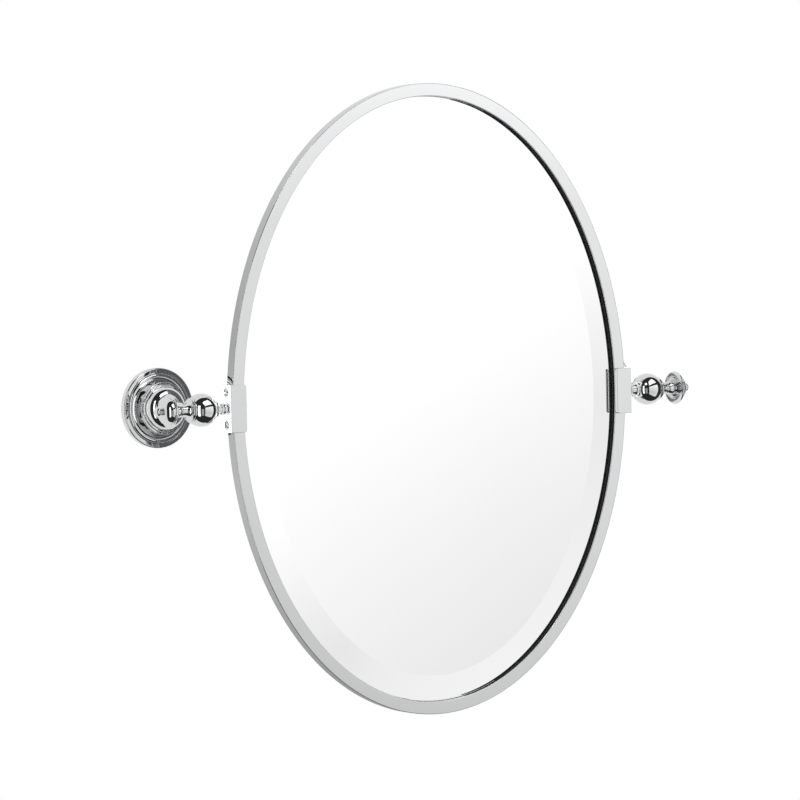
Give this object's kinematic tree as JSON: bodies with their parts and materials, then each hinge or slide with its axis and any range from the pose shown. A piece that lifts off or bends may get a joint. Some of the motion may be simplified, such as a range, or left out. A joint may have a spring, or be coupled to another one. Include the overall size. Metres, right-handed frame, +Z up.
{
  "type": "tilting wall mirror",
  "caption": "Oval bevelled mirror in a chrome frame that tilts between two turned wall brackets.",
  "frame": {"origin": "on the wall, midway between the two brackets, at the height of the tilt axis", "axes": "+X along the tilt axis to the viewer's right, +Y into the wall (the mirror faces -Y), +Z up"},
  "size_m": [0.5536, 0.0878, 0.542],
  "materials": {
    "chrome": "polished chrome plate",
    "silvered_glass": "silvered float glass with a wide polished bevel",
    "rubber": "matt black strip",
    "board": "dark grey backing board, matt",
    "spring_steel": "plain bright steel",
    "nylon": "white nylon",
    "casting": "plain zinc casting"
  },
  "bodies": {
    "wall_brackets": {"left_ball": "chrome", "left_inner_neck": "chrome", "left_outer_baluster": "chrome", "left_end_disc": "chrome", "left_finial": "chrome", "left_post": "chrome", "left_wall_flange": "chrome", "left_pivot_pin": "spring_steel", "left_friction_washer": "nylon", "left_flange_grub_screw": "spring_steel", "left_wall_plate": "casting", "right_ball": "chrome", "right_inner_neck": "chrome", "right_outer_baluster": "chrome", "right_end_disc": "chrome", "right_finial": "chrome", "right_post": "chrome", "right_wall_flange": "chrome", "right_pivot_pin": "spring_steel", "right_friction_washer": "nylon", "right_flange_grub_screw": "spring_steel", "right_wall_plate": "casting"},
    "mirror": {"frame_ring": "chrome", "mirror_glass": "silvered_glass", "glass_seal": "rubber", "backing_board": "board", "board_clip_1": "spring_steel", "board_clip_2": "spring_steel", "board_clip_3": "spring_steel", "board_clip_4": "spring_steel", "board_clip_5": "spring_steel", "board_clip_6": "spring_steel", "left_clamp": "chrome", "left_clamp_screw_upper": "chrome", "left_clamp_screw_lower": "chrome", "left_pivot_boss": "chrome", "left_joint_strap": "spring_steel", "right_clamp": "chrome", "right_clamp_screw_upper": "chrome", "right_clamp_screw_lower": "chrome", "right_pivot_boss": "chrome", "right_joint_strap": "spring_steel"}
  },
  "joints": [
    {"name": "mirror_tilt", "type": "hinge", "parent": "wall_brackets", "child": "mirror", "pos_m": [0, -0.0733, 0], "axis": [1, 0, 0], "range_deg": [-12, 12]}
  ]
}
